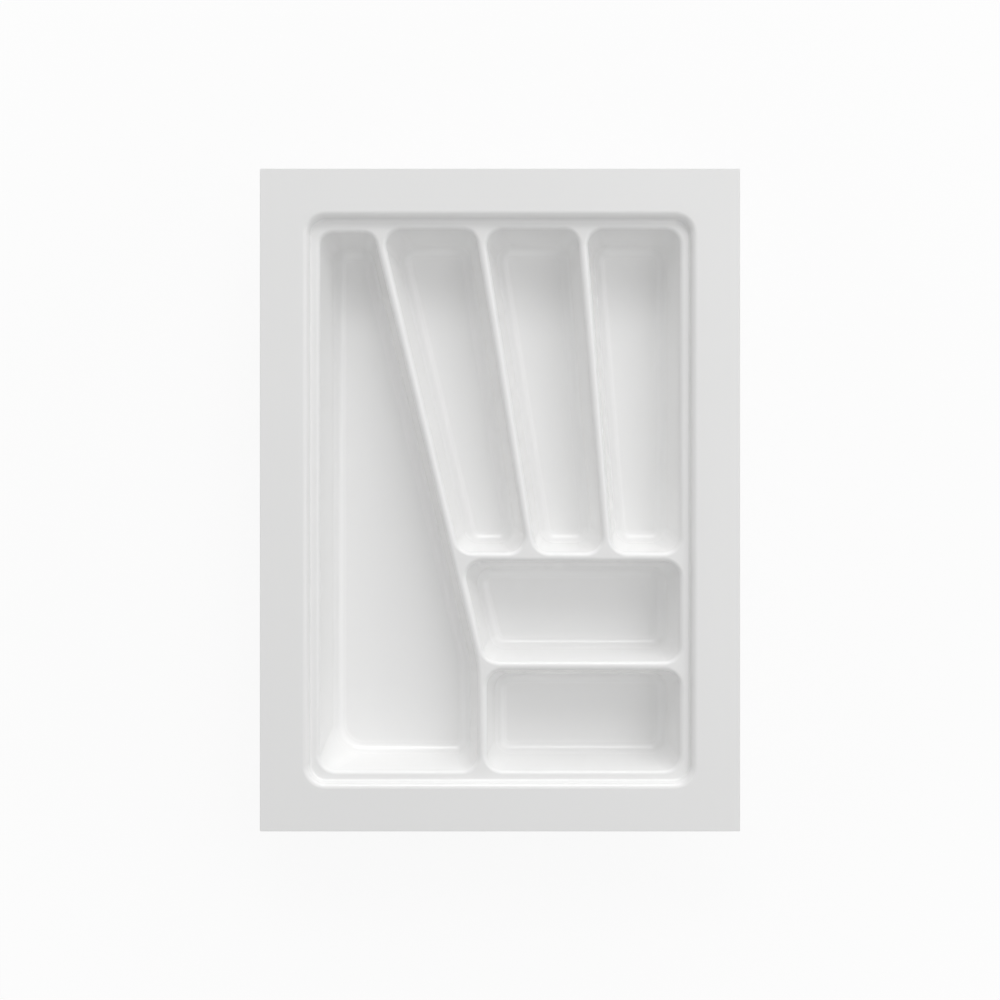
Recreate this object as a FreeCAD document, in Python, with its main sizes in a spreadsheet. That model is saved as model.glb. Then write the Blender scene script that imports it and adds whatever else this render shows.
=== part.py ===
import FreeCAD, Part
import Sketcher
import math
import os

# Cutlery tray for a kitchen drawer, vacuum formed from one plastic sheet.
# X runs across the tray, Y from front to back, Z up; the origin is below the middle of the tray.
# The sheet is drawn as eight regions that meet face to face: flange, step and six wells.

# Driving sizes in millimetres, drafts in degrees.
SIZES = {
    "tray_width": 355.0,
    "tray_length": 490.0,
    "tray_height": 50.0,
    "sheet": 2.0,
    "flange_width": 31.0,
    "step_depth": 7.0,
    "step_draft": 12.0,
    "step_crown": 1.5,
    "step_foot": 3.0,
    "recess_radius": 10.5,
    "ledge": 5.2,
    "utensil_ledge": 7.8,
    "utensil_back": 38.7,
    "utensil_front": 118.4,
    "lower_length": 75.4,
    "wall_draft": 11.0,
    "corner_radius": 12.5,
    "corner_flat": 1.0,
    "kink_radius": 80.0,
    "floor_radius": 10.5,
    "floor_share": 0.8,
    "crest_bend": 0.8,
    "hollow_flat": 0.5,
}

# Sizes that follow from the driving ones.
LAYOUT = {
    "deck_z": "Sizes.tray_height - Sizes.step_depth",
    "edge_x": "Sizes.tray_width / 2",
    "edge_y": "Sizes.tray_length / 2",
    "hole_x": "Sizes.tray_width / 2 - Sizes.flange_width",
    "hole_y": "Sizes.tray_length / 2 - Sizes.flange_width",
    # A bend between a level face and a wall takes this much of each per unit of radius.
    "step_reach": "tan(45 - Sizes.step_draft / 2)",
    "wall_reach": "tan(45 - Sizes.wall_draft / 2)",
    "wall_slope": "tan(Sizes.wall_draft)",
    "crown_top": "Sizes.step_crown + Sizes.sheet",
    "crown_z": "Sizes.step_depth - crown_top",
    "foot_under": "Sizes.step_foot + Sizes.sheet",
    "step_run": "Sizes.step_depth * tan(Sizes.step_draft) + (crown_top + Sizes.step_foot) * step_reach",
    "hole_radius": "Sizes.recess_radius + step_run",
    # Edges of the recessed deck, at the foot of the step.
    "right": "hole_x - step_run",
    "left": "-right",
    "back": "hole_y - step_run",
    "front": "-back",
    # A crest is two walls, the hollow between them and the bends over both.
    "wall_shift": "Sizes.sheet / cos(Sizes.wall_draft)",
    "lip_radius": "Sizes.crest_bend + Sizes.sheet",
    "half_crest": "Sizes.hollow_flat / 2 + Sizes.crest_bend * wall_reach + wall_shift",
    # Crest lines: the long divider leans, then turns straight at the kink; two more share what is left.
    "long_back_x": "left + Sizes.ledge + Sizes.utensil_back + half_crest",
    "kink_x": "left + Sizes.ledge + Sizes.utensil_front + half_crest",
    "kink_y": "front + Sizes.ledge + Sizes.lower_length + half_crest",
    "middle_y": "kink_y + Sizes.lower_length + 2 * half_crest",
    "long_middle_x": "long_back_x + (kink_x - long_back_x) * (back - middle_y) / (back - kink_y)",
    "pitch_back": "(right - Sizes.ledge + half_crest - long_back_x) / 3",
    "pitch_middle": "(right - Sizes.ledge + half_crest - long_middle_x) / 3",
    "second_back_x": "long_back_x + pitch_back",
    "second_middle_x": "long_middle_x + pitch_middle",
    "third_back_x": "long_back_x + 2 * pitch_back",
    "third_middle_x": "long_middle_x + 2 * pitch_middle",
    # Distance of the inner and outer faces of a wall from the edge of its cell, at the deck.
    "mouth_ledge": "Sizes.ledge",
    "mouth_end": "Sizes.utensil_ledge",
    "mouth_crest": "half_crest",
    "tub_ledge": "mouth_ledge - wall_shift",
    "tub_end": "mouth_end - wall_shift",
    "tub_crest": "mouth_crest - wall_shift",
    "cavity_depth": "deck_z - Sizes.sheet",
    # A corner leaves a flat between it and the next one at the base of the narrowest side, and the
    # floor bends less than the corners do. The long well has smaller corners at its narrow end.
    "base_loss": "2 * (deck_z * wall_slope - wall_shift)",
    "least_mouth": "min(pitch_middle - 2 * half_crest; Sizes.lower_length)",
    "least_reach": "(least_mouth - base_loss - Sizes.corner_flat) / 2 - Sizes.sheet",
    "end_reach": "(Sizes.utensil_back - base_loss - Sizes.corner_flat) / 2 - Sizes.sheet",
    "wide_corner": "min(Sizes.corner_radius; least_reach)",
    "wide_floor": "min(Sizes.floor_radius; Sizes.floor_share * wide_corner)",
    "end_corner": "min(Sizes.corner_radius; end_reach)",
    "end_floor": "min(wide_floor; Sizes.floor_share * end_corner)",
    "outer_wide_corner": "wide_corner + Sizes.sheet",
    "outer_wide_floor": "wide_floor + Sizes.sheet",
    "outer_end_corner": "end_corner + Sizes.sheet",
    "outer_end_floor": "end_floor + Sizes.sheet",
    "outer_kink": "Sizes.kink_radius + Sizes.sheet",
}

# Each well: corners of its cell, counter-clockwise from the front left, and the kind of border that
# each side of the cell has, starting with the side after the first corner.
WELLS = {
    "utensil_well": (
        [
            ("left", "front"),
            ("kink_x", "front"),
            ("kink_x", "kink_y"),
            ("long_back_x", "back"),
            ("left", "back"),
        ],
        ["ledge", "crest", "crest", "end", "ledge"],
    ),
    "knife_well": (
        [
            ("long_middle_x", "middle_y"),
            ("second_middle_x", "middle_y"),
            ("second_back_x", "back"),
            ("long_back_x", "back"),
        ],
        ["crest", "crest", "ledge", "crest"],
    ),
    "fork_well": (
        [
            ("second_middle_x", "middle_y"),
            ("third_middle_x", "middle_y"),
            ("third_back_x", "back"),
            ("second_back_x", "back"),
        ],
        ["crest", "crest", "ledge", "crest"],
    ),
    "spoon_well": (
        [
            ("third_middle_x", "middle_y"),
            ("right", "middle_y"),
            ("right", "back"),
            ("third_back_x", "back"),
        ],
        ["crest", "ledge", "ledge", "crest"],
    ),
    "teaspoon_well": (
        [
            ("kink_x", "kink_y"),
            ("right", "kink_y"),
            ("right", "middle_y"),
            ("long_middle_x", "middle_y"),
        ],
        ["crest", "ledge", "crest", "crest"],
    ),
    "sundries_well": (
        [
            ("kink_x", "front"),
            ("right", "front"),
            ("right", "kink_y"),
            ("kink_x", "kink_y"),
        ],
        ["ledge", "ledge", "crest", "crest"],
    ),
}

# Corner where the long divider turns from leaning to straight.
KINK = ("kink_x", "kink_y")

# Tolerance for telling where an edge lies.
NEAR = 0.01

doc = FreeCAD.newDocument("cutlery_tray")
sizes = doc.addObject("Spreadsheet::Sheet", "Sizes")
for row, (alias, size) in enumerate(SIZES.items(), start=1):
    sizes.set("A%d" % row, alias)
    sizes.set("B%d" % row, str(size))
    sizes.setAlias("B%d" % row, alias)
layout = doc.addObject("Spreadsheet::Sheet", "Layout")
for row, alias in enumerate(LAYOUT, start=1):
    layout.set("A%d" % row, alias)
    layout.setAlias("B%d" % row, alias)
for row, formula in enumerate(LAYOUT.values(), start=1):
    layout.set("B%d" % row, "=" + formula)
doc.recompute()


def value(alias):
    return float(getattr(layout, alias))


def point(corner):
    return FreeCAD.Vector(value(corner[0]), value(corner[1]), 0)


def new_body(name, level):
    body = doc.addObject("PartDesign::Body", name)
    body.Label = name
    body.setExpression("Placement.Base.z", level)
    return body


def origin_plane(body, role):
    return [item for item in body.Origin.OriginFeatures if item.Role == role][0]


def new_sketch(body, name, role="XY_Plane"):
    sketch = body.newObject("Sketcher::SketchObject", body.Label + "_" + name)
    sketch.AttachmentSupport = [(origin_plane(body, role), "")]
    sketch.MapMode = "FlatFace"
    return sketch


def bind(sketch, constraint, expression):
    index = sketch.addConstraint(constraint)
    sketch.setExpression("Constraints[%d]" % index, expression)


def draw_polygon(sketch, points, construction=False):
    """Draws a closed polygon and gives the index of its first line."""
    count = len(points)
    lines = [Part.LineSegment(points[i], points[(i + 1) % count]) for i in range(count)]
    first = sketch.addGeometry(lines, construction)[0]
    for i in range(count):
        sketch.addConstraint(Sketcher.Constraint("Coincident", first + i, 2, first + (i + 1) % count, 1))
    return first


def draw_cell(sketch, corners, construction=False):
    """Draws the cell of a well with each corner placed by two sizes."""
    first = draw_polygon(sketch, [point(corner) for corner in corners], construction)
    for i, (across, along) in enumerate(corners):
        for kind, alias in (("DistanceX", across), ("DistanceY", along)):
            bind(sketch, Sketcher.Constraint(kind, -1, 1, first + i, 1, value(alias)), "Layout." + alias)
    return first


def inset_points(corners, insets):
    """Corners of the polygon whose sides lie inside those of the cell by the given distances."""
    points = [point(corner) for corner in corners]
    count = len(points)
    sides = []
    for i in range(count):
        way = points[(i + 1) % count] - points[i]
        way.normalize()
        inward = FreeCAD.Vector(-way.y, way.x, 0)
        sides.append((points[i] + inward * insets[i], way))
    found = []
    for i in range(count):
        start, way = sides[i - 1]
        other, other_way = sides[i]
        cross = way.x * other_way.y - way.y * other_way.x
        gap = other - start
        reach = (gap.x * other_way.y - gap.y * other_way.x) / cross
        found.append(start + way * reach)
    return found


def draw_inset(sketch, corners, borders, face):
    """Draws a wall face's outline at the deck, parallel to the sides of the cell."""
    aliases = [face + "_" + border for border in borders]
    cell = draw_cell(sketch, corners, True)
    inner = draw_polygon(sketch, inset_points(corners, [value(alias) for alias in aliases]))
    for i, alias in enumerate(aliases):
        sketch.addConstraint(Sketcher.Constraint("Parallel", cell + i, inner + i))
        distance = Sketcher.Constraint("Distance", inner + i, 1, cell + i, value(alias))
        bind(sketch, distance, "Layout." + alias)


def fillet(body, name, base, edges, radius):
    feature = body.newObject("PartDesign::Fillet", body.Label + "_" + name)
    feature.Base = (base, edges)
    feature.setExpression("Radius", radius)
    doc.recompute()
    return feature


def edges_where(feature, test):
    return ["Edge%d" % (i + 1) for i, edge in enumerate(feature.Shape.Edges) if test(edge)]


def at_level(edge, level):
    return abs(edge.BoundBox.ZMin - level) < NEAR and abs(edge.BoundBox.ZMax - level) < NEAR


def near_point(edge, spot):
    return any(abs(v.X - spot.x) < NEAR and abs(v.Y - spot.y) < NEAR for v in edge.Vertexes)


def straight_up(edge):
    return edge.BoundBox.XLength < NEAR and edge.BoundBox.YLength < NEAR


def block(body, name, kind, sketch, depth):
    """Adds or takes away a straight block below the deck."""
    feature = body.newObject("PartDesign::" + kind, body.Label + "_" + name)
    feature.Profile = sketch
    feature.Reversed = kind == "Pad"
    feature.setExpression("Length", depth)
    doc.recompute()
    return feature


def draft(body, name, base, top, outward):
    """Leans the wall faces that hang from the given level in toward the floor."""

    def hangs(face):
        box = face.BoundBox
        upright = abs(face.normalAt(0, 0).z) < NEAR
        return upright and abs(box.ZMax - top) < NEAR and abs(box.ZLength - value("cavity_depth")) < NEAR

    sides = ["Face%d" % (i + 1) for i, face in enumerate(base.Shape.Faces) if hangs(face)]
    feature = body.newObject("PartDesign::Draft", body.Label + "_" + name)
    feature.Base = (base, sides)
    feature.NeutralPlane = (origin_plane(body, "XY_Plane"), [""])
    feature.Reversed = outward
    feature.setExpression("Angle", "Sizes.wall_draft")
    doc.recompute()
    return feature


def steep_edges(feature, corners, borders, face, chosen):
    """Edges that run down the given corners of a wall face."""

    def runs_down(edge):
        if edge.BoundBox.ZLength < value("cavity_depth") - NEAR:
            return False
        drawn_in = -edge.BoundBox.ZMax * value("wall_slope")
        top = inset_points(corners, [value(face + "_" + border) + drawn_in for border in borders])
        return any(near_point(edge, top[i]) for i in chosen)

    return edges_where(feature, runs_down)


def build_well(name, corners, borders):
    body = new_body(name, "Layout.deck_z")
    rim = new_sketch(body, "cell")
    draw_cell(rim, corners)
    plate = body.newObject("PartDesign::Pad", name + "_rim")
    plate.Profile = rim
    plate.Reversed = True
    plate.setExpression("Length", "Sizes.sheet")
    doc.recompute()
    outer = new_sketch(body, "outer_face")
    draw_inset(outer, corners, borders, "tub")
    block(body, "tub", "Pad", outer, "Layout.deck_z")
    inner = new_sketch(body, "inner_face")
    draw_inset(inner, corners, borders, "mouth")
    shell = block(body, "cavity", "Pocket", inner, "Layout.cavity_depth")
    shell = draft(body, "inner_draft", shell, 0, False)
    shell = draft(body, "outer_draft", shell, -SIZES["sheet"], True)

    count = len(corners)
    kink = [i for i in range(count) if corners[i] == KINK and count > 4]
    end = [i for i in range(count) if "end" in (borders[i - 1], borders[i])]
    wide = [i for i in range(count) if i not in kink + end]
    for face, chosen, label, radius in (
        ("mouth", wide, "inner_corners", "Layout.wide_corner"),
        ("tub", wide, "outer_corners", "Layout.outer_wide_corner"),
        ("mouth", end, "inner_end_corners", "Layout.end_corner"),
        ("tub", end, "outer_end_corners", "Layout.outer_end_corner"),
        ("mouth", kink, "inner_kink", "Sizes.kink_radius"),
        ("tub", kink, "outer_kink", "Layout.outer_kink"),
    ):
        if chosen:
            edges = steep_edges(shell, corners, borders, face, chosen)
            shell = fillet(body, label, shell, edges, radius)
    outside = [c for c in corners if c[0] in ("left", "right") and c[1] in ("front", "back")]
    if outside:
        spots = [point(corner) for corner in outside]
        turned = edges_where(shell, lambda e: straight_up(e) and any(near_point(e, s) for s in spots))
        shell = fillet(body, "rim_corner", shell, turned, "Sizes.recess_radius")
    floor_bend = "end_floor" if end else "wide_floor"
    for label, level, radius in (
        ("floor", "cavity_depth", "Layout." + floor_bend),
        ("base", "deck_z", "Layout.outer_" + floor_bend),
    ):
        around = edges_where(shell, lambda edge: at_level(edge, -value(level)))
        shell = fillet(body, label, shell, around, radius)

    cell_points = [point(corner) for corner in corners]

    def on_cell(edge):
        middle = edge.valueAt((edge.FirstParameter + edge.LastParameter) / 2)
        for i in range(count):
            way = cell_points[(i + 1) % count] - cell_points[i]
            way.normalize()
            gap = middle - cell_points[i]
            if abs(gap.x * way.y - gap.y * way.x) < NEAR:
                return True
        round_corner = edge.Curve.TypeId == "Part::GeomCircle"
        return round_corner and abs(edge.Curve.Radius - SIZES["recess_radius"]) < NEAR

    lip = edges_where(shell, lambda edge: at_level(edge, 0) and not on_cell(edge))
    shell = fillet(body, "lip", shell, lip, "Layout.lip_radius")
    under = edges_where(shell, lambda edge: at_level(edge, -SIZES["sheet"]) and not on_cell(edge))
    fillet(body, "lip_under", shell, under, "Sizes.crest_bend")
    return body


def draw_rectangle(sketch, half_x, half_y):
    """Draws a rectangle about the middle of the tray."""
    x, y = value(half_x), value(half_y)
    spots = [(-x, -y), (x, -y), (x, y), (-x, y)]
    first = draw_polygon(sketch, [FreeCAD.Vector(a, b, 0) for a, b in spots])
    for i, (a, b) in enumerate(spots):
        for kind, size, alias in (("DistanceX", a, half_x), ("DistanceY", b, half_y)):
            sign = "-" if size < 0 else ""
            bind(sketch, Sketcher.Constraint(kind, -1, 1, first + i, 1, size), sign + "Layout." + alias)
    return first


def build_flange():
    body = new_body("flange", "Sizes.tray_height")
    outline = new_sketch(body, "outline")
    draw_rectangle(outline, "edge_x", "edge_y")
    draw_rectangle(outline, "hole_x", "hole_y")
    plate = body.newObject("PartDesign::Pad", "flange_plate")
    plate.Profile = outline
    plate.Reversed = True
    plate.setExpression("Length", "Sizes.sheet")
    doc.recompute()
    inside = edges_where(plate, lambda e: straight_up(e) and abs(e.Vertexes[0].X) < value("hole_x") + NEAR)
    fillet(body, "opening_corners", plate, inside, "Layout.hole_radius")
    return body


def build_step():
    body = new_body("recess_step", "Layout.deck_z")

    # The path is the edge of the deck, from the middle of its right side and back to it.
    path = new_sketch(body, "path")
    x, y = value("right"), value("back")
    r = SIZES["recess_radius"]
    starts = [(x, 0), (x - r, y), (-x, y - r), (r - x, -y), (x, r - y)]
    ends = [(x, y - r), (r - x, y), (-x, r - y), (x - r, -y), (x, 0)]
    lines = [
        path.addGeometry(Part.LineSegment(FreeCAD.Vector(*start, 0), FreeCAD.Vector(*end, 0)))
        for start, end in zip(starts, ends)
    ]
    centres = [(x - r, y - r), (r - x, y - r), (r - x, r - y), (x - r, r - y)]
    up = FreeCAD.Vector(0, 0, 1)
    quarter = math.pi / 2
    for i, centre in enumerate(centres):
        circle = Part.Circle(FreeCAD.Vector(*centre, 0), up, r)
        arc = path.addGeometry(Part.ArcOfCircle(circle, i * quarter, (i + 1) * quarter))
        path.addConstraint(Sketcher.Constraint("Tangent", lines[i], 2, arc, 1))
        path.addConstraint(Sketcher.Constraint("Tangent", arc, 2, lines[i + 1], 1))
        bind(path, Sketcher.Constraint("Radius", arc, r), "Sizes.recess_radius")
    path.addConstraint(Sketcher.Constraint("Coincident", lines[4], 2, lines[0], 1))
    path.addConstraint(Sketcher.Constraint("PointOnObject", lines[0], 1, -1))
    for line, kind, reach, expression in (
        (0, "DistanceX", x, "Layout.right"),
        (1, "DistanceY", y, "Layout.back"),
        (2, "DistanceX", -x, "Layout.left"),
        (3, "DistanceY", -y, "Layout.front"),
    ):
        bind(path, Sketcher.Constraint(kind, -1, 1, lines[line], 1, reach), expression)
        straight = "Vertical" if kind == "DistanceX" else "Horizontal"
        path.addConstraint(Sketcher.Constraint(straight, lines[line]))
    path.addConstraint(Sketcher.Constraint("Vertical", lines[4]))

    # The section is the sheet bent over the crown and into the foot, with a leaning wall between.
    section = new_sketch(body, "section", "XZ_Plane")
    lean = math.radians(SIZES["step_draft"])
    foot = FreeCAD.Vector(x, SIZES["step_foot"], 0)
    crown = FreeCAD.Vector(value("hole_x"), value("crown_z"), 0)
    bends = []
    for centre, radius, expression, begin, end in (
        (foot, SIZES["step_foot"], "Sizes.step_foot", -quarter, -lean),
        (foot, value("foot_under"), "Layout.foot_under", -quarter, -lean),
        (crown, value("crown_top"), "Layout.crown_top", quarter, math.pi - lean),
        (crown, SIZES["step_crown"], "Sizes.step_crown", quarter, math.pi - lean),
    ):
        bend = section.addGeometry(Part.ArcOfCircle(Part.Circle(centre, up, radius), begin, end))
        bind(section, Sketcher.Constraint("Radius", bend, radius), expression)
        section.addConstraint(Sketcher.Constraint("Vertical", bend, 3, bend, 1))
        bends.append(bend)
    foot_top, foot_under, crown_top, crown_under = bends
    for upper, lower, centre, across, along in (
        (foot_top, foot_under, foot, "Layout.right", "Sizes.step_foot"),
        (crown_top, crown_under, crown, "Layout.hole_x", "Layout.crown_z"),
    ):
        section.addConstraint(Sketcher.Constraint("Coincident", upper, 3, lower, 3))
        bind(section, Sketcher.Constraint("DistanceX", -1, 1, upper, 3, centre.x), across)
        bind(section, Sketcher.Constraint("DistanceY", -1, 1, upper, 3, centre.y), along)
        end_line = Part.LineSegment(
            section.getPoint(upper, 1),
            section.getPoint(lower, 1),
        )
        cap = section.addGeometry(end_line)
        section.addConstraint(Sketcher.Constraint("Coincident", upper, 1, cap, 1))
        section.addConstraint(Sketcher.Constraint("Coincident", lower, 1, cap, 2))
    for low, high in ((foot_top, crown_top), (foot_under, crown_under)):
        wall = section.addGeometry(Part.LineSegment(section.getPoint(low, 2), section.getPoint(high, 2)))
        section.addConstraint(Sketcher.Constraint("Tangent", low, 2, wall, 1))
        section.addConstraint(Sketcher.Constraint("Tangent", high, 2, wall, 2))
    doc.recompute()

    sweep = body.newObject("PartDesign::AdditivePipe", "recess_step_sweep")
    sweep.Profile = section
    sweep.Spine = (path, [])
    doc.recompute()
    return body


bodies = [build_flange(), build_step()]
for name, (corners, borders) in WELLS.items():
    bodies.append(build_well(name, corners, borders))

doc.recompute()
os.makedirs("parts", exist_ok=True)
for item in doc.Objects:
    if "Invalid" in item.State or "Error" in item.State:
        raise RuntimeError("%s did not compute" % item.Label)
for body in bodies:
    if body.Shape.isNull() or not body.Shape.isValid():
        raise RuntimeError("%s has no valid shape" % body.Label)
    print(body.Label, len(body.Shape.Solids), round(body.Shape.Volume), body.Shape.BoundBox)
    body.Shape.exportStep("parts/%s.step" % body.Label)
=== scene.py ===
import math
import bpy
from mathutils import Matrix, Vector
from mathutils.geometry import delaunay_2d_cdt


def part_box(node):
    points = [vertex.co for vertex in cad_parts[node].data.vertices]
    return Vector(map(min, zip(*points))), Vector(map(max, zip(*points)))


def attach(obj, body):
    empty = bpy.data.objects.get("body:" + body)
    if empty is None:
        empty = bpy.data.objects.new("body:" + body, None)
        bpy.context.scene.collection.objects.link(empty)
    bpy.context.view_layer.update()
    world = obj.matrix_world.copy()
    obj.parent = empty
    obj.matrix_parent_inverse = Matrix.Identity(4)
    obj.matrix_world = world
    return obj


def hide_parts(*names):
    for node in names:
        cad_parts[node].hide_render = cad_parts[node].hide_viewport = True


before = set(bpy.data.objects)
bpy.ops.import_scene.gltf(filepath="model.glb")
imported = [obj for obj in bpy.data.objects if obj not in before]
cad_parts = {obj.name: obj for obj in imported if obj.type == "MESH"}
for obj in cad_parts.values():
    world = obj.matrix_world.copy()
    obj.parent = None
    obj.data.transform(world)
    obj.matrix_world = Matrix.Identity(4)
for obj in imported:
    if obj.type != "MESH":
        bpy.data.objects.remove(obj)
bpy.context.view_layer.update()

# The tray is one formed sheet, so one closed skin stands for all the solids of the frame.
# Lengths are in metres. Levels and plan positions come from the frame.
LOW = {name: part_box(name)[0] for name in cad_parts}
HIGH = {name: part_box(name)[1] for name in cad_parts}
TOP = HIGH["flange"].z
SHEET = TOP - LOW["flange"].z
DECK = HIGH["utensil_well"].z
DEPTH = DECK - SHEET
UP = Vector((0, 0, 1))

# Step from the flange down to the deck. It is as wide as in the solids, but its crown is rounder and its
# foot tighter by the same amount, as in the photograph.
STEP_DRAFT = math.radians(12)
CROWN_INSIDE = 0.0015
FOOT_BEND = 0.003
CROWN_GAIN = 0.0013
STEP_CROWN = CROWN_INSIDE + SHEET + CROWN_GAIN
STEP_FOOT = FOOT_BEND - CROWN_GAIN
RECESS_RADIUS = 0.0105

# Borders, walls and bends of the wells, as in the solids.
LEDGE = 0.0052
END_LEDGE = 0.0078
CREST_BEND = 0.0008
HOLLOW_FLAT = 0.0005
WALL_DRAFT = math.radians(11)
CORNER = 0.0125
END_CORNER = 0.0105
KINK_CORNER = 0.080
FLOOR_RADIUS = 0.0105

# Corners of the long well that widen towards the foot of its wall: the front left one, as in the
# photograph, and a little those of its narrow end, for the bend of the floor.
WIDE_FOOT = 0.024
END_FOOT = 0.0118

# The trimmed edge of the sheet is barely broken.
EDGE_ROUND = 0.0003
EDGE_CORNER = 0.0006

# Divisions of the skin.
CORNER_STEPS = 12
SIDE_STEPS = 6
LIP_STEPS = 8
WALL_STEPS = 4
FLOOR_STEPS = 14
STEP_STEPS = 8
EDGE_STEPS = 3

# For the triangles of a level area: the mode that keeps those inside the outline, and how near to each
# other two points count as one.
INSIDE_OUTLINE = 1
SAME_POINT = 1e-9

# Plastic: colours, roughness, and the scale and height of its clouds, forming waves and orange peel.
PLASTIC_TONES = (0.935, 0.935, 0.930, 1), (0.960, 0.960, 0.957, 1)
PLASTIC_ROUGHNESS = 0.11, 0.19
PLASTIC_IOR = 1.5
CLOUD_SCALE = 9.0
WAVE_SCALE = 26.0
WAVE_HEIGHT = 0.0002
PEEL_SCALE = 420.0
PEEL_HEIGHT = 0.00001
RELIEF = 0.1

# The floors of the wells and the flange, which things rub against, are duller than the bends.
DULL_RISE = 0.0008
DULL_EXTRA = 0.2

# Sawn edge: colours, roughness and its marks, which run across the thickness of the sheet.
SAWN_TONES = (0.74, 0.74, 0.73, 1), (0.82, 0.82, 0.815, 1)
SAWN_ROUGHNESS = 0.4, 0.6
SAW_SCALE = 1800.0
SAW_STRETCH = 0.05
SAW_HEIGHT = 0.00005
SAW_RELIEF = 0.4

# Floor just under the tray, and the share of its lit surface that shows under the white near the tray,
# with the distances over which that share fades out.
WHITE = (1, 1, 1, 1)
FLOOR_SIZE = 8.0
FLOOR_GAP = 0.0002
FLOOR_COLOUR = (0.95, 0.95, 0.95, 1)
SHADOW_SHARE = 0.1
SHADOW_NEAR = 0.35
SHADOW_FAR = 1.0

# Light all round, and the lamps that look at the middle of the deck: place, width, height and watts. The
# strip is the bright part of the key, which draws the lines along the front bends of the wells' floors.
AMBIENT = 0.251
LAMPS = {
    "key": ((0.75, 3.52, 1.75), 5.4, 3.5, 99.0),
    "strip": ((0.00, 3.35, 2.18), 1.3, 0.65, 13.6),
    "right": ((1.68, 0.30, 1.83), 2.0, 2.0, 14.4),
    "left": ((-2.02, 0.00, 1.47), 2.0, 2.0, 5.2),
    "front": ((0.00, -1.97, 1.54), 2.0, 2.0, 6.0),
    "top": ((0.00, 0.00, 2.50), 2.0, 2.0, 1.8),
}

# Camera straight above the middle of the tray: height over the flange, and the width of the flange's plane
# that fills the picture.
CAMERA_HEIGHT = 1.0
VIEW_WIDTH = 0.7394


def reach(draft):
    """Share of its radius that a bend between a level face and a drafted wall takes of the level face."""
    return math.tan(math.pi / 4 - draft / 2)


HALF_CREST = HOLLOW_FLAT / 2 + CREST_BEND * reach(WALL_DRAFT) + SHEET / math.cos(WALL_DRAFT)
BORDER = {"ledge": LEDGE, "end": END_LEDGE, "crest": HALF_CREST}

# The lips of neighbouring wells all but meet on top of the crest between them.
LIP_SHARE = 0.98
LIP_RADIUS = LIP_SHARE * HALF_CREST / reach(WALL_DRAFT)

# Corners of the cells that the crest lines and the edge of the deck divide the recess into.
LEFT, RIGHT = LOW["utensil_well"].x, HIGH["spoon_well"].x
FRONT, BACK = LOW["utensil_well"].y, HIGH["utensil_well"].y
MIDDLE = HIGH["teaspoon_well"].y
KINK = (HIGH["utensil_well"].x, HIGH["sundries_well"].y)
LONG_MIDDLE, LONG_BACK = (LOW["teaspoon_well"].x, MIDDLE), (LOW["knife_well"].x, BACK)
SECOND_MIDDLE, SECOND_BACK = (HIGH["knife_well"].x, MIDDLE), (LOW["fork_well"].x, BACK)
THIRD_MIDDLE, THIRD_BACK = (HIGH["fork_well"].x, MIDDLE), (LOW["spoon_well"].x, BACK)

# Radius of a corner at the mouth of a well and at the foot of its wall.
PLAIN = (CORNER, CORNER)
WIDENED = (CORNER, WIDE_FOOT)
NARROW_END = (END_CORNER, END_FOOT)
BLUNT = (KINK_CORNER, KINK_CORNER)

# Each well: corners of its cell counter-clockwise from the front left, what borders the side after each
# corner, and the radii of each corner.
WELLS = {
    "utensil_well": (
        [(LEFT, FRONT), (KINK[0], FRONT), KINK, LONG_BACK, (LEFT, BACK)],
        ["ledge", "crest", "crest", "end", "ledge"],
        [WIDENED, PLAIN, BLUNT, NARROW_END, NARROW_END],
    ),
    "knife_well": (
        [LONG_MIDDLE, SECOND_MIDDLE, SECOND_BACK, LONG_BACK],
        ["crest", "crest", "ledge", "crest"],
        [PLAIN] * 4,
    ),
    "fork_well": (
        [SECOND_MIDDLE, THIRD_MIDDLE, THIRD_BACK, SECOND_BACK],
        ["crest", "crest", "ledge", "crest"],
        [PLAIN] * 4,
    ),
    "spoon_well": (
        [THIRD_MIDDLE, (RIGHT, MIDDLE), (RIGHT, BACK), THIRD_BACK],
        ["crest", "ledge", "ledge", "crest"],
        [PLAIN] * 4,
    ),
    "teaspoon_well": (
        [KINK, (RIGHT, KINK[1]), (RIGHT, MIDDLE), LONG_MIDDLE],
        ["crest", "ledge", "crest", "crest"],
        [PLAIN] * 4,
    ),
    "sundries_well": (
        [(KINK[0], FRONT), (RIGHT, FRONT), (RIGHT, KINK[1]), KINK],
        ["ledge", "ledge", "crest", "crest"],
        [PLAIN] * 4,
    ),
}


def rectangle(half_x, half_y):
    """Corners of a rectangle round the origin, counter-clockwise from the front left."""
    return [(-half_x, -half_y), (half_x, -half_y), (half_x, half_y), (-half_x, half_y)]


def rounded_loop(corners, insets, radii):
    """Points of a polygon drawn in from each side by its inset, with each corner rounded."""
    count = len(corners)
    spots = [Vector(corner) for corner in corners]
    ways = [(spots[(i + 1) % count] - spots[i]).normalized() for i in range(count)]
    inwards = [Vector((-way.y, way.x)) for way in ways]
    arcs = []
    for i in range(count):
        way, before, after = ways[i - 1], inwards[i - 1], inwards[i]
        start = spots[i] + before * (insets[i - 1] + radii[i])
        other = spots[i] + after * (insets[i] + radii[i])
        centre = start + way * ((other - start).dot(after) / way.dot(after))
        turn = before.angle_signed(after, 0)
        angles = [-turn * step / CORNER_STEPS for step in range(CORNER_STEPS + 1)]
        arcs.append([centre - Matrix.Rotation(angle, 2) @ before * radii[i] for angle in angles])
    points = []
    for i in range(count):
        points += arcs[i]
        start, end = arcs[i][-1], arcs[(i + 1) % count][0]
        points += [start.lerp(end, step / SIDE_STEPS) for step in range(1, SIDE_STEPS)]
    return points


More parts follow.
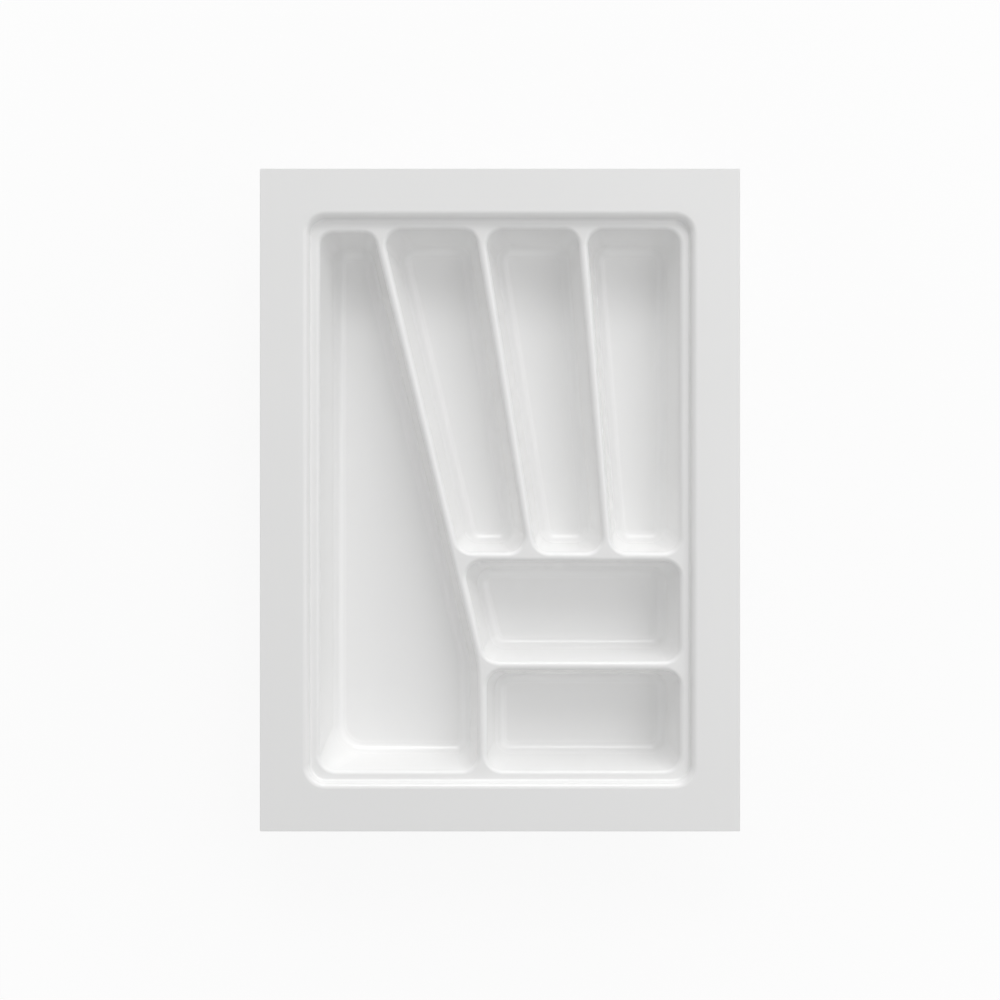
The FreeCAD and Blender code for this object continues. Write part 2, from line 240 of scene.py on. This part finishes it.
def bend(radius, draft, steps):
    """Points from a level face round to a drafted wall: way along the level face and distance from it."""
    steepest = math.pi / 2 - draft
    leans = [steepest * step / steps for step in range(steps + 1)]
    return [(radius * math.sin(lean), radius * (1 - math.cos(lean))) for lean in leans]


class Skin:
    """Points of the sheet, directions square to it and faces that look out of it, upper side first."""

    def __init__(self):
        self.points = []
        self.normals = []
        self.faces = []

    def add_loop(self, plan, level):
        """Adds the points of a level loop and gives their numbers."""
        first = len(self.points)
        self.points += [Vector((p.x, p.y, level)) for p in plan]
        return list(range(first, len(self.points)))

    def join(self, outer, inner):
        """Adds the faces between two loops."""
        for i in range(len(outer)):
            k = (i + 1) % len(outer)
            self.faces.append((outer[i], outer[k], inner[k], inner[i]))

    def add_band(self, loops):
        """Joins loops that follow each other inward, level at both ends."""
        count = len(loops[0])
        for j, loop in enumerate(loops):
            for i in range(count):
                if j in (0, len(loops) - 1):
                    self.normals.append(UP)
                    continue
                along = self.points[loop[(i + 1) % count]] - self.points[loop[i - 1]]
                inward = self.points[loops[j + 1][i]] - self.points[loops[j - 1][i]]
                self.normals.append(along.cross(inward).normalized())
        for outer, inner in zip(loops, loops[1:]):
            self.join(outer, inner)

    def cover(self, loop):
        """Covers the level area inside a loop that bulges all round."""
        spots = [self.points[index] for index in loop]
        middle = len(self.points)
        self.points.append(sum(spots, Vector()) / len(spots))
        self.normals.append(UP)
        self.faces += [(loop[i - 1], loop[i], middle) for i in range(len(loop))]

    def fill(self, outside, holes):
        """Covers the level area between a loop and the holes inside it, which all bulge all round."""
        loops = [outside] + holes
        order = [index for loop in loops for index in loop]
        owner = [k for k, loop in enumerate(loops) for index in loop]
        edges = []
        for loop in loops:
            first = len(edges)
            edges += [(first + i, first + (i + 1) % len(loop)) for i in range(len(loop))]
        plan = [self.points[index].xy for index in order]
        found = delaunay_2d_cdt(plan, edges, [], INSIDE_OUTLINE, SAME_POINT)
        triangles, sources = found[2], found[3]
        for triangle in triangles:
            corners = [sources[k][0] for k in triangle]
            owners = {owner[k] for k in corners}
            # A triangle with all its corners on one hole lies in that hole.
            if len(owners) > 1 or owners == {0}:
                self.faces.append(tuple(order[k] for k in corners))

    def add_lower_side(self):
        """Adds the lower side, one sheet below the upper one, and gives how far its numbers are ahead."""
        count = len(self.points)
        self.points += [p - n * SHEET for p, n in zip(self.points, self.normals)]
        self.normals += [-n for n in self.normals]
        self.faces += [tuple(index + count for index in reversed(face)) for face in self.faces]
        return count

    def add_edge(self, outline, upper, lower):
        """Joins the two sides round the trimmed edge, from the upper loop down to the lower one."""
        turns = [math.pi / 2 * step / EDGE_STEPS for step in range(1, EDGE_STEPS + 1)]
        sections = [(TOP - EDGE_ROUND, turn) for turn in turns]
        sections += [(TOP - SHEET + EDGE_ROUND, math.pi - turn) for turn in reversed(turns)]
        rings = [upper]
        for middle, turn in sections:
            inset = EDGE_ROUND * (1 - math.sin(turn))
            plan = rounded_loop(outline, [inset] * 4, [EDGE_CORNER + EDGE_ROUND - inset] * 4)
            rings.append(self.add_loop(plan, middle + EDGE_ROUND * math.cos(turn)))
            for i in range(len(plan)):
                along = plan[(i + 1) % len(plan)] - plan[i - 1]
                outward = Vector((along.y, -along.x, 0)).normalized()
                self.normals.append(outward * math.sin(turn) + UP * math.cos(turn))
        rings.append(lower)
        for above, below in zip(rings, rings[1:]):
            self.join(below, above)


def well_profile():
    """Inset, drop below the deck, share of the wall passed and inset by bends of each loop of a well."""
    lip_reach = LIP_RADIUS * reach(WALL_DRAFT)
    lip = [(along - lip_reach, drop) for along, drop in bend(LIP_RADIUS, WALL_DRAFT, LIP_STEPS)]
    floor_inset = (DEPTH - FLOOR_RADIUS) * math.tan(WALL_DRAFT) + FLOOR_RADIUS / math.cos(WALL_DRAFT)
    floor_bend = reversed(bend(FLOOR_RADIUS, WALL_DRAFT, FLOOR_STEPS))
    floor = [(floor_inset - along, DEPTH - rise) for along, rise in floor_bend]
    (lip_inset, lip_drop), (foot_inset, foot_drop) = lip[-1], floor[0]
    profile = [(inset, drop, 0, inset) for inset, drop in lip]
    for step in range(1, WALL_STEPS):
        share = step / WALL_STEPS
        inset = lip_inset + (foot_inset - lip_inset) * share
        drop = lip_drop + (foot_drop - lip_drop) * share
        profile.append((inset, drop, share, lip_inset))
    profile += [(inset, drop, 1, lip_inset + inset - foot_inset) for inset, drop in floor]
    return profile


def add_well(skin, corners, borders, radii):
    """Adds a well and gives its loop on the deck."""
    loops = []
    for inset, drop, share, bend_inset in well_profile():
        insets = [BORDER[border] + inset for border in borders]
        rounds = [mouth + (foot - mouth) * share - bend_inset for mouth, foot in radii]
        loops.append(skin.add_loop(rounded_loop(corners, insets, rounds), DECK - drop))
    skin.add_band(loops)
    skin.cover(loops[-1])
    return loops[0]


def add_step(skin):
    """Adds the step from the flange down to the deck and gives its first and last loops."""
    rise = TOP - DECK
    run = rise * math.tan(STEP_DRAFT) + (STEP_CROWN + STEP_FOOT) * reach(STEP_DRAFT)
    profile = [(run - along, rise - drop) for along, drop in bend(STEP_CROWN, STEP_DRAFT, STEP_STEPS)]
    profile += reversed(bend(STEP_FOOT, STEP_DRAFT, STEP_STEPS))
    loops = []
    for out, up in profile:
        plan = rounded_loop(rectangle(RIGHT, BACK), [-out] * 4, [RECESS_RADIUS + out] * 4)
        loops.append(skin.add_loop(plan, DECK + up))
    skin.add_band(loops)
    return loops[0], loops[-1]


def build_sheet(name):
    """Makes the closed skin of the whole sheet as one object, with its trimmed edge in a second slot."""
    skin = Skin()
    outline = rectangle(HIGH["flange"].x, HIGH["flange"].y)
    trim = skin.add_loop(rounded_loop(outline, [EDGE_ROUND] * 4, [EDGE_CORNER] * 4), TOP)
    skin.normals += [UP] * len(trim)
    crown, foot = add_step(skin)
    skin.fill(trim, [crown])
    mouths = [add_well(skin, *well) for well in WELLS.values()]
    skin.fill(foot, mouths)
    ahead = skin.add_lower_side()
    edge_start = len(skin.faces)
    skin.add_edge(outline, trim, [index + ahead for index in trim])

    mesh = bpy.data.meshes.new(name)
    mesh.from_pydata(skin.points, [], skin.faces)
    for polygon in mesh.polygons:
        polygon.use_smooth = True
        polygon.material_index = 1 if polygon.index >= edge_start else 0
    mesh.normals_split_custom_set_from_vertices(skin.normals)
    mesh.update()
    sheet = bpy.data.objects.new(name, mesh)
    bpy.context.scene.collection.objects.link(sheet)
    return sheet


def new_material(name):
    """Adds a material and gives it with its node tree."""
    material = bpy.data.materials.new(name)
    material.use_nodes = True
    return material, material.node_tree


def node(tree, kind, **inputs):
    """Adds a node and sets or links its inputs by name."""
    made = tree.nodes.new(kind)
    for key, given in inputs.items():
        socket = made.inputs[key.replace("_", " ")]
        if isinstance(given, bpy.types.NodeSocket):
            tree.links.new(given, socket)
        else:
            socket.default_value = given
    return made


def object_place(tree):
    """Gives the place on the object, in metres."""
    return tree.nodes.new("ShaderNodeTexCoord").outputs["Object"]


def noise(tree, place, scale, detail, roughness):
    """Gives a smooth random factor that varies with the place."""
    made = node(tree, "ShaderNodeTexNoise", Vector=place, Scale=scale, Detail=detail, Roughness=roughness)
    return made.outputs["Fac"]


def combine(tree, operation, first, second):
    """Gives the sum, the larger one or the like of two values."""
    made = tree.nodes.new("ShaderNodeMath")
    made.operation = operation
    tree.links.new(first, made.inputs[0])
    tree.links.new(second, made.inputs[1])
    return made.outputs[0]


def ramp(tree, value, low, high, start=0.0, end=1.0):
    """Gives low where the value is at its start, high where it is at its end, and between them a ramp."""
    made = node(
        tree, "ShaderNodeMapRange", Value=value, From_Min=start, From_Max=end, To_Min=low, To_Max=high
    )
    return made.outputs["Result"]


def tint(tree, factor, tones):
    """Gives a colour between two."""
    made = node(tree, "ShaderNodeValToRGB", Fac=factor)
    for element, tone in zip(made.color_ramp.elements, tones):
        element.color = tone
    return made.outputs["Color"]


def relief(tree, height, strength, distance, **base):
    """Gives the direction square to a surface with a fine relief on it, over a coarser one if given."""
    made = node(tree, "ShaderNodeBump", Height=height, Strength=strength, Distance=distance, **base)
    return made.outputs["Normal"]


def plastic(name):
    """Glossy white formed sheet: faint orange peel, slow waves from forming and changes of gloss."""
    material, tree = new_material(name)
    shader = tree.nodes["Principled BSDF"]
    place = object_place(tree)
    cloud = noise(tree, place, CLOUD_SCALE, detail=3.0, roughness=0.5)
    peel = noise(tree, place, PEEL_SCALE, detail=2.0, roughness=0.4)
    wave = noise(tree, place, WAVE_SCALE, detail=1.0, roughness=0.3)
    level = node(tree, "ShaderNodeSeparateXYZ", Vector=place).outputs["Z"]
    rough = ramp(tree, cloud, *PLASTIC_ROUGHNESS)
    for start, end in ((SHEET + DULL_RISE, SHEET), (TOP - DULL_RISE, TOP)):
        rough = combine(tree, "ADD", rough, ramp(tree, level, 0.0, DULL_EXTRA, start, end))
    slow = relief(tree, wave, RELIEF, WAVE_HEIGHT)
    fine = relief(tree, peel, RELIEF, PEEL_HEIGHT, Normal=slow)
    tree.links.new(tint(tree, cloud, PLASTIC_TONES), shader.inputs["Base Color"])
    tree.links.new(rough, shader.inputs["Roughness"])
    tree.links.new(fine, shader.inputs["Normal"])
    shader.inputs["IOR"].default_value = PLASTIC_IOR
    return material


def cut_edge(name):
    """Sawn edge of the same sheet: duller, with fine marks across its thickness."""
    material, tree = new_material(name)
    shader = tree.nodes["Principled BSDF"]
    stretched = node(tree, "ShaderNodeMapping", Vector=object_place(tree), Scale=(1.0, 1.0, SAW_STRETCH))
    marks = noise(tree, stretched.outputs["Vector"], SAW_SCALE, detail=2.0, roughness=0.5)
    tree.links.new(tint(tree, marks, SAWN_TONES), shader.inputs["Base Color"])
    tree.links.new(ramp(tree, marks, *SAWN_ROUGHNESS), shader.inputs["Roughness"])
    tree.links.new(relief(tree, marks, SAW_RELIEF, SAW_HEIGHT), shader.inputs["Normal"])
    return material


def white_to_camera(tree, lit, white, output, whiteness):
    """Shows a share of white to the camera and in reflections, and the lit surface for the rest."""
    path = tree.nodes.new("ShaderNodeLightPath").outputs
    seen = path["Is Camera Ray"]
    for kind in ("Is Glossy Ray", "Is Transmission Ray"):
        seen = combine(tree, "MAXIMUM", seen, path[kind])
    mix = node(tree, "ShaderNodeMixShader", Fac=ramp(tree, seen, 0.0, whiteness))
    tree.links.new(lit.outputs[0], mix.inputs[1])
    tree.links.new(white.outputs[0], mix.inputs[2])
    tree.links.new(mix.outputs[0], output.inputs["Surface"])


def build_floor():
    """White floor that keeps the tray's shadow near it and fades into the background farther off."""
    bpy.ops.mesh.primitive_plane_add(size=FLOOR_SIZE, location=(0, 0, -FLOOR_GAP))
    floor = bpy.context.object
    floor.name = "floor"
    material, tree = new_material("floor_white")
    tree.nodes.remove(tree.nodes["Principled BSDF"])
    lit = node(tree, "ShaderNodeBsdfDiffuse", Color=FLOOR_COLOUR)
    white = node(tree, "ShaderNodeEmission", Color=WHITE, Strength=1.0)
    distance = node(tree, "ShaderNodeVectorMath", Vector=object_place(tree))
    distance.operation = "LENGTH"
    whiteness = ramp(tree, distance.outputs["Value"], 1 - SHADOW_SHARE, 1.0, SHADOW_NEAR, SHADOW_FAR)
    white_to_camera(tree, lit, white, tree.nodes["Material Output"], whiteness)
    floor.data.materials.append(material)


def build_world():
    """Even light all round that the camera sees as white."""
    world = bpy.data.worlds.new("studio")
    bpy.context.scene.world = world
    world.use_nodes = True
    tree = world.node_tree
    lit = tree.nodes["Background"]
    lit.inputs["Color"].default_value = WHITE
    lit.inputs["Strength"].default_value = AMBIENT
    white = node(tree, "ShaderNodeBackground", Color=WHITE, Strength=1.0)
    white_to_camera(tree, lit, white, tree.nodes["World Output"], 1.0)


def build_lamp(name, place, width, height, watts):
    """Soft lamp that looks at the middle of the deck."""
    lamp = bpy.data.lights.new(name, "AREA")
    lamp.shape = "RECTANGLE"
    lamp.size = width
    lamp.size_y = height
    lamp.energy = watts
    stand = bpy.data.objects.new(name, lamp)
    stand.location = place
    stand.rotation_euler = (Vector((0, 0, DECK)) - Vector(place)).to_track_quat("-Z", "Y").to_euler()
    bpy.context.scene.collection.objects.link(stand)


def build_camera():
    """Looks straight down at the middle of the tray, as the photograph does."""
    data = bpy.data.cameras.new("camera")
    data.lens = data.sensor_width * CAMERA_HEIGHT / VIEW_WIDTH
    camera = bpy.data.objects.new("camera", data)
    camera.location = (0, 0, TOP + CAMERA_HEIGHT)
    bpy.context.scene.collection.objects.link(camera)
    bpy.context.scene.camera = camera


tray = build_sheet("tray_sheet")
tray.data.materials.append(plastic("tray_plastic"))
tray.data.materials.append(cut_edge("tray_cut_edge"))
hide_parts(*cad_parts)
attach(tray, "root")

build_floor()
build_world()
for lamp_name, lamp_values in LAMPS.items():
    build_lamp(lamp_name, *lamp_values)
build_camera()
bpy.context.scene.view_settings.view_transform = "Standard"
